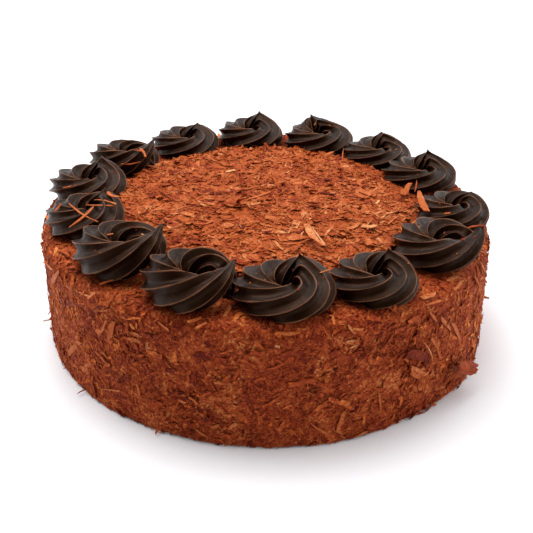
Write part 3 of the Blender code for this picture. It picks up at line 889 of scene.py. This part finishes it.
# Both ends in the photograph's pixels, width in mm, shade, and how far the second end lifts in mm
STRAYS_AND_SHADE_SLIPS = (
    (91, 306, 112, 303, 3.2, 0.55, 0.6),
    (91, 311, 112, 310, 0.9, 0.75, 0.8),
    (88, 298, 96, 292, 1.6, 0.75, 1.0),
    (74, 290, 90, 297, 0.9, 0.75, 0.6),
    (108, 342, 114, 322, 4.6, 0.42, 0.8),
    (99, 336, 106, 322, 1.5, 0.5, 0.6),
    (102, 389, 120, 391, 0.9, 0.80, 1.0),
    (137, 384, 140, 396, 1.5, 0.65, 0.6),
    (95, 351, 105, 362, 1.2, 0.6, 0.6),
    (158, 322, 168, 330, 1.1, 0.70, 0.8),
    (214, 383, 222, 383, 2.2, 0.62, 0.6),
    (196, 430, 206, 437, 1.4, 0.70, 0.8),
    (224, 415, 232, 416, 2.0, 0.60, 0.6),
    # Three dark slips where the heap's crevices lie in shade: painted shade
    (318, 193, 333, 194, 2.2, 0.0, 0.2),
    (304, 202, 322, 203, 2.2, 0.0, 0.2),
    (308, 206, 316, 205, 1.6, 0.05, 0.2),
    (344, 196, 364, 198, 0.9, 0.05, 0.3),
    (246, 200, 272, 191, 2.2, 0.62, 0.5),
    (181, 212, 194, 216, 5.0, 0.68, 0.5),
    (356, 188, 374, 196, 6.5, 0.60, 0.3),
    (362, 227, 379, 226, 4.5, 0.78, 0.8),
    (273, 239, 282, 250, 2.2, 0.74, 0.8),
    (288, 238, 311, 236, 7.0, 0.64, 0.4),
    (324, 237, 332, 227, 1.6, 0.74, 0.8),
    (378, 222, 388, 212, 1.4, 0.76, 0.8),
    (384, 215, 398, 211, 1.4, 0.74, 0.6),
    (388, 224, 398, 216, 1.2, 0.72, 0.8),
    (372, 212, 380, 218, 1.2, 0.70, 0.6),
    (390, 206, 399, 203, 1.6, 0.72, 0.6),
    (280, 334, 299, 333, 3.2, 0.62, 0.6),
    (275, 346, 280, 347, 1.8, 0.78, 0.5),
    (347, 325, 355, 334, 1.8, 0.75, 1.4),
    (352, 329, 363, 330, 1.6, 0.80, 1.6),
    (345, 342, 358, 341, 2.4, 0.70, 1.2),
    (350, 348, 357, 345, 1.0, 0.78, 1.0),
    (407, 352, 430, 359, 6.0, 0.05, 0.3),
    (425, 342, 433, 360, 0.9, 0.75, 0.8),
    (432, 338, 441, 358, 2.0, 0.5, 1.0),
    (345, 410, 338, 430, 3.2, 0.58, 0.6),
    (311, 424, 328, 435, 1.7, 0.64, 1.2),
    (368, 431, 355, 437, 1.7, 0.62, 0.8),
    (285, 430, 296, 434, 3.2, 0.45, 0.4),
    (379, 392, 381, 410, 1.2, 0.6, 0.6),
    (402, 196, 410, 184, 5.0, 0.52, 3.0),
    (415, 192, 417, 180, 1.0, 0.45, 2.0),
    (426, 213, 419, 193, 5.0, 0.60, 2.6),
    (343, 162, 343, 149, 1.2, 0.55, 2.0),
    (306, 226, 322, 246, 4.6, 0.80, 1.0),
    (313, 229, 325, 245, 1.0, 1.0, 1.6),
    (226, 172, 235, 170, 3.6, 1.0, 0.6),
    (190, 204, 206, 203, 2.0, 0.42, 0.5),
    (158, 189, 173, 200, 1.3, 0.35, 0.5),
    (68, 204, 96, 222, 1.5, 0.62, 0.4),
    (72, 226, 94, 207, 1.5, 0.55, 0.8),
    (87, 205, 117, 206, 1.6, 0.62, 0.6),
    (94, 199, 116, 203, 1.4, 0.62, 0.8),
    (107, 193, 118, 198, 2.6, 0.66, 0.8),
    (55, 211, 61, 204, 1.6, 0.5, 0.4),
    (63, 188, 72, 186, 1.4, 0.6, 0.4),
    (122, 165, 139, 163, 1.8, 0.6, 0.4),
    (134, 150, 142, 151, 1.5, 0.66, 0.6),
    (141, 149, 146, 157, 2.2, 0.66, 0.6),
    (107, 235, 113, 234, 1.6, 0.7, 0.3),
    (320, 273, 328, 270, 0.9, 0.7, 0.4),
    (444, 214, 450, 213, 2.0, 0.55, 0.3),
    (467, 227, 486, 225, 2.6, 0.3, 0.3),
    (66, 303, 82, 304, 5.0, 0.15, -0.4),
    (194, 356, 222, 355, 5.5, 0.12, -0.4),
    (300, 359, 315, 362, 6.0, 0.2, -0.4),
    (333, 352, 350, 362, 6.0, 0.25, -0.4),
    (50, 284, 58, 272, 4.0, 0.66, -0.6),
    (70, 352, 80, 342, 5.0, 0.66, -0.6),
    (82, 370, 92, 364, 5.0, 0.64, -0.6),
    (124, 338, 158, 348, 5.0, 0.68, -0.6),
    (120, 330, 140, 336, 3.0, 0.68, -0.6),
    (412, 372, 426, 380, 5.0, 0.58, -0.6),
    (408, 365, 440, 385, 3.0, 0.66, -0.6),
    (421, 299, 436, 294, 3.0, 0.72, 0.6),
    (425, 305, 440, 301, 2.0, 0.66, 0.6),
    (447, 281, 458, 276, 3.0, 0.70, 0.8),
    (455, 290, 462, 281, 2.0, 0.76, 0.8),
    (479, 262, 485, 272, 2.0, 0.76, 1.0),
    (473, 276, 480, 288, 2.0, 0.58, 1.2),
    (441, 318, 452, 330, 2.5, 0.64, 0.2),
    (452, 322, 460, 340, 2.5, 0.60, 0.2),
    (430, 312, 437, 322, 1.5, 0.66, 0.6),
    (45, 262, 52, 270, 2.0, 0.66, 0.8),
    (58, 250, 70, 256, 2.0, 0.62, 0.8),
    (100, 284, 112, 280, 1.8, 0.60, 0.8),
    (188, 322, 202, 318, 3.0, 0.64, 0.2),
    (196, 328, 206, 323, 2.0, 0.66, 0.2),
    (212, 312, 220, 303, 3.0, 0.62, 0.2),
    (224, 318, 230, 306, 2.5, 0.66, 0.2),
    (178, 400, 186, 403, 1.6, 0.62, 0.6),
    (188, 396, 198, 404, 1.8, 0.66, 0.6),
    (212, 428, 220, 424, 2.2, 0.62, 0.8),
    (228, 430, 236, 424, 2.4, 0.66, 0.8),
)
# Slivers that stand out of the edge: the pixel where each starts, length and width in mm, and shade
STANDING = (
    (53, 319, 5.0, 0.7, 0.5),
    (86, 389, 5.0, 0.8, 0.45),
    (68, 367, 2.5, 0.8, 0.5),
    (159, 429, 3.5, 1.2, 0.45),
    (483, 297, 3.5, 2.6, 0.5),
    (476, 322, 2.5, 0.8, 0.5),
    (474, 333, 3.0, 1.0, 0.4),
    (470, 357, 3.0, 1.4, 0.4),
    (430, 402, 2.0, 1.4, 0.4),
)
STANDING_ROOT = 1.0 * MM
STANDING_NORMAL = Vector((0.3, -0.3, 1.0))
STRAY_THICKNESS = (0.3, 0.5)
STRAY_SECTIONS = 5
STRAY_SWAY = 8.0
STRAY_CURL = 12.0
# Where along it a stray may rest on what is under it, and how far it stays over the coat at most
STRAY_REST = (0.1, 0.3, 0.5, 0.7, 0.9)
COAT_REACH = 1.2 * MM
SHOULDER_REST = 0.5 * MM
# Crumbs that fell on each rosette: how many, how long in mm, how wide in lengths, and their shades
CRUMBS_PER_ROSETTE = 9
CRUMB_LENGTH = (0.5, 2.2)
CRUMB_WIDTH = (0.3, 0.8)
CRUMB_SHADE = (0.3, 0.8)
CRUMB_SPREAD = 0.8
CRUMB_CURL = 25.0
CRUMB_LIFTS = (0.1 * MM, 0.2 * MM)
ABOVE_ALL = 200 * MM
STRAY_SEED = 6


def line_of_sight(x, y):
    """The way from the camera through this pixel of the photograph."""
    focal = FOCAL_LENGTH / SENSOR_WIDTH * PHOTO_SIZE
    ahead = Vector(((x - PHOTO_SIZE / 2) / focal, (PHOTO_SIZE / 2 - y) / focal, -1.0))
    return (camera_turn @ ahead).normalized()


def seen_spot(x, y):
    """Where the line of sight through this pixel meets the torte."""
    _, spot, *_ = bpy.context.scene.ray_cast(graph, camera_place, line_of_sight(x, y))
    return spot


def is_on_side(spot):
    """Whether this place is on the side of the torte, below its shoulder."""
    is_low = spot.z < TORTE_HEIGHT - SHOULDER_RADIUS / 2
    return is_low and spot.xy.length > TORTE_RADIUS - SHOULDER_RADIUS


def spot_at_radius(x, y, radius):
    """Where the line of sight through this pixel comes to this distance from the torte's axis."""
    sight = line_of_sight(x, y)
    nearest = -camera_place.xy.dot(sight.xy) / sight.xy.length_squared
    gap = (camera_place + nearest * sight).xy.length
    back = math.sqrt(max(radius**2 - gap**2, 0.0)) / sight.xy.length
    spot = camera_place + sight * (nearest - back)
    spot.xy *= radius / spot.xy.length
    return spot


def spot_at_height(x, y, height):
    """Where the line of sight through this pixel comes to this height."""
    sight = line_of_sight(x, y)
    return camera_place + sight * ((height - camera_place.z) / sight.z)


def coat_radius(spot):
    """How far from the torte's axis the coat is at this place."""
    return TORTE_RADIUS * float(swollen(np.array(spot))[0])


def settled(spot, seen):
    """This place, or where it would hang over the shoulder, one just off the surface seen there."""
    if spot.z < TORTE_HEIGHT - SHOULDER_RADIUS / 3:
        return spot
    return seen + SHOULDER_REST * Vector((*spot.xy.normalized(), 1.0))


def lay_between(shavings, rng, curl):
    """The corners and shades of shavings, from each one's start, end, normal, width and shade."""
    starts, ends, normals, widths, shades = (np.array(column) for column in zip(*shavings))
    ahead = ends - starts
    length = np.linalg.norm(ahead, axis=1)
    ahead /= length[:, None]
    aside = np.cross(normals, ahead)
    aside /= np.linalg.norm(aside, axis=1)[:, None]
    thick = MM * rng.uniform(*STRAY_THICKNESS, len(length))
    corners = cut_shavings(rng, length, widths, thick, curl, STRAY_SECTIONS, STRAY_SWAY)
    x, y, z = np.moveaxis(corners, 3, 0)
    middles = (starts + ends) / 2
    return set_down(x, y, z, ahead, aside, np.cross(ahead, aside), middles), shades


bpy.context.view_layer.update()
graph = bpy.context.evaluated_depsgraph_get()
rng = np.random.default_rng(STRAY_SEED)
lying = []
for x0, y0, x1, y1, width, shade, lift in STRAYS_AND_SHADE_SLIPS:
    under = [seen_spot(x0 + (x1 - x0) * share, y0 + (y1 - y0) * share) for share in STRAY_REST]
    middle = under[len(under) // 2]
    if is_on_side(middle):
        outermost = coat_radius(middle) + COAT_REACH
        radius = min(max(spot.xy.length for spot in under), outermost)
        start, end = spot_at_radius(x0, y0, radius), spot_at_radius(x1, y1, radius + lift * MM)
        start, end = settled(start, under[0]), settled(end, under[-1])
        normal = Vector((*((start + end) / 2).xy, 0.0)).normalized()
    else:
        height = max(spot.z for spot in under)
        start, end = spot_at_height(x0, y0, height), spot_at_height(x1, y1, height + lift * MM)
        normal = Vector((0.0, 0.0, 1.0))
    lying.append((start, end, normal, width * MM, shade))
strays, stray_shades = lay_between(lying, rng, STRAY_CURL)
standing = []
for x, y, length, width, shade in STANDING:
    start = spot_at_radius(x, y, coat_radius(spot_at_radius(x, y, TORTE_RADIUS)))
    out = Vector((*start.xy, 0.0)).normalized()
    root, end = start - out * STANDING_ROOT, start + out * length * MM
    standing.append((root, end, STANDING_NORMAL, width * MM, shade))
crumbs = []
for centre, reach in zip(rosette_centres, rosette_reaches):
    for _ in range(CRUMBS_PER_ROSETTE):
        bearing = rng.uniform(0.0, 2 * math.pi)
        out = reach * math.sqrt(rng.uniform(0.0, CRUMB_SPREAD))
        x, y = centre[0] + out * math.cos(bearing), centre[1] + out * math.sin(bearing)
        above = Vector((x, y, ABOVE_ALL))
        _, spot, normal, *_ = bpy.context.scene.ray_cast(graph, above, Vector((0.0, 0.0, -1.0)))
        length = MM * (CRUMB_LENGTH[0] + np.ptp(CRUMB_LENGTH) * rng.random() ** 2)
        heading = normal.orthogonal().normalized()
        heading.rotate(Matrix.Rotation(rng.uniform(0.0, 2 * math.pi), 3, normal))
        start = spot + CRUMB_LIFTS[0] * normal - heading * length / 2
        end = spot + CRUMB_LIFTS[1] * normal + heading * length / 2
        width = length * rng.uniform(*CRUMB_WIDTH)
        crumbs.append((start, end, normal, width, rng.uniform(*CRUMB_SHADE)))
others, other_shades = lay_between(standing + crumbs, rng, CRUMB_CURL)
strays = np.concatenate([strays, others])
strays[..., 2] = np.maximum(strays[..., 2], LOWEST)
shades = np.concatenate([stray_shades, other_shades])
piece = join_shavings("stray_shavings_and_shade_slips", strays, shades)
piece.data.materials.append(heap_chocolate)
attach(piece, "root")


# The rolled shaving: a broad one that curled up as the blade lifted it. It juts out of the coat low
# on the right, and is an open curl, wider and torn at its free end.
ROLL_FOOT = (455, 367)
ROLL_TIP = (471, 368)
ROLL_REACHES = (2.0 * MM, 5.0 * MM)
ROLL_RADII = (2.4 * MM, 3.5 * MM)
ROLL_WIDENING = 1.5
ROLL_SPAN = math.radians(265)
ROLL_TURN = math.radians(-35)
ROLL_STEPS = 28
ROLL_RINGS = 12
ROLL_TEAR = 1.3 * MM
TEAR_POWER = 4
ROLL_STREAK = 0.12 * MM
ROLL_STREAK_SHADE = 0.07
ROLL_SHADE = 0.41
ROLL_THICKNESS = 0.4 * MM

foot, tip = (
    np.array(spot_at_radius(*pixel, coat_radius(spot_at_radius(*pixel, TORTE_RADIUS)) + reach))
    for pixel, reach in zip((ROLL_FOOT, ROLL_TIP), ROLL_REACHES)
)
axis = (tip - foot) / np.linalg.norm(tip - foot)
aside = np.cross(axis, (0.0, 0.0, 1.0))
aside /= np.linalg.norm(aside)
above = np.cross(aside, axis)
angles = ROLL_TURN + np.linspace(-0.5, 0.5, ROLL_STEPS) * ROLL_SPAN
along = np.linspace(0.0, 1.0, ROLL_RINGS)[:, None]
streaks = rng.normal(0.0, 1.0, ROLL_STEPS)
tip_tears, foot_tears = rng.normal(0.0, ROLL_TEAR, (2, ROLL_STEPS))
tears = along**TEAR_POWER * tip_tears + (1 - along) ** TEAR_POWER * foot_tears
radii = ROLL_RADII[0] + np.ptp(ROLL_RADII) * along**ROLL_WIDENING + ROLL_STREAK * streaks
curl = np.cos(angles)[:, None] * aside + np.sin(angles)[:, None] * above
spine = foot + along * (tip - foot)
spots = spine[:, None] + tears[..., None] * axis + radii[..., None] * curl
corner = np.arange(ROLL_RINGS * ROLL_STEPS).reshape(ROLL_RINGS, ROLL_STEPS)
sides = (corner[:-1, :-1], corner[:-1, 1:], corner[1:, 1:], corner[1:, :-1])
faces = np.stack(sides, axis=-1).reshape(-1, 4)
streak_shades = np.tile(ROLL_SHADE + ROLL_STREAK_SHADE * streaks, ROLL_RINGS)
roll = add_piece("rolled_shaving", spots, faces, "shade", streak_shades)
bpy.context.view_layer.objects.active = roll
bpy.ops.object.modifier_add(type="SOLIDIFY")
roll.modifiers[-1].thickness = ROLL_THICKNESS
bpy.ops.object.modifier_apply(modifier=roll.modifiers[-1].name)
roll.data.shade_smooth()
roll.data.materials.append(coat_chocolate)
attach(roll, "root")
